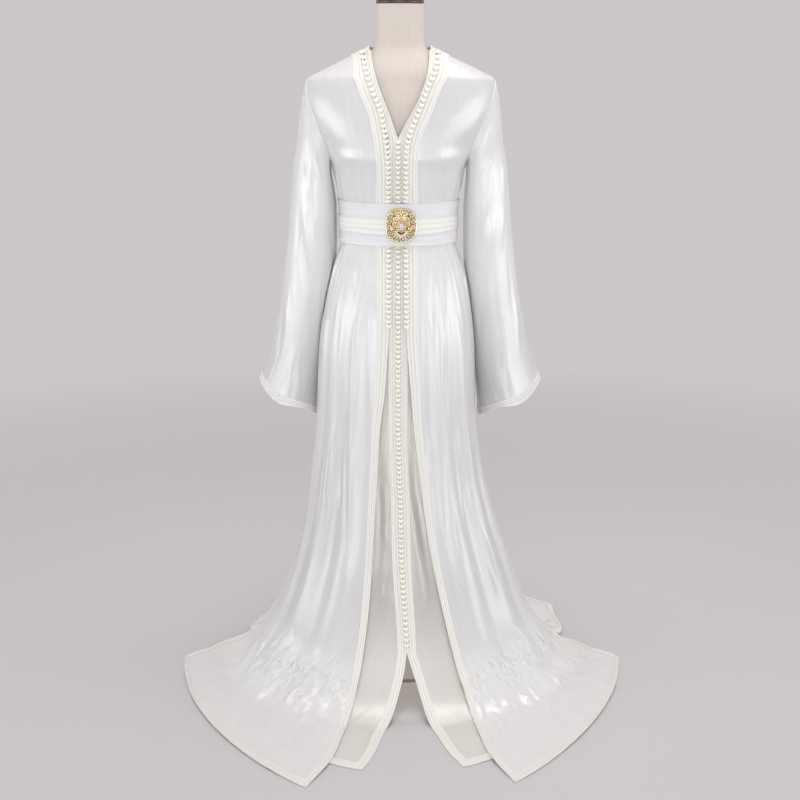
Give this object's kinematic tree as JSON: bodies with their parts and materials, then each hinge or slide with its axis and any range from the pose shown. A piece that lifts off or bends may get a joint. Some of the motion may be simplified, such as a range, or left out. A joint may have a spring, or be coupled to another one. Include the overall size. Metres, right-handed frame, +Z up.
{
  "type": "moroccan kaftan on a dress form",
  "caption": "Layered white satin kaftan with wide sleeves, braided edges, a sash belt and a gilt buckle, worn by a limbless linen dress form on a round stand.",
  "frame": {"origin": "centre of the underside of the stand's base, on the floor", "axes": "+Z up; the gown's front faces -Y; +X is the wearer's left"},
  "size_m": [1.0038, 1.1, 1.5003],
  "materials": {
    "satin": "soft satin sheen",
    "cream_braid": "silk braid",
    "cream_sash": "pleated silk",
    "gilt_metal": "polished gilt",
    "white_stone": "clear white stone",
    "linen": "plain linen",
    "dark_wood": "dark varnish",
    "steel": "satin"
  },
  "bodies": {
    "root": {"outer_front_right": "satin", "outer_front_left": "satin", "outer_back": "satin", "inner_front_right": "satin", "inner_front_left": "satin", "inner_back": "satin", "sleeve_right": "satin", "sleeve_left": "satin", "belt_band": "satin", "outer_braid_right": "cream_braid", "outer_braid_left": "cream_braid", "outer_braid_back": "cream_braid", "outer_braid_neck": "cream_braid", "inner_braid_right": "cream_braid", "inner_braid_left": "cream_braid", "cuff_braid_right": "cream_braid", "cuff_braid_left": "cream_braid", "chain_right": "cream_braid", "chain_left": "cream_braid", "chain_centre": "cream_braid", "belt_sash": "cream_sash", "buckle": "gilt_metal", "buckle_stone": "white_stone", "form_torso": "linen", "form_neck_cap": "dark_wood", "stand_base": "steel", "stand_pole": "steel"}
  },
  "joints": []
}
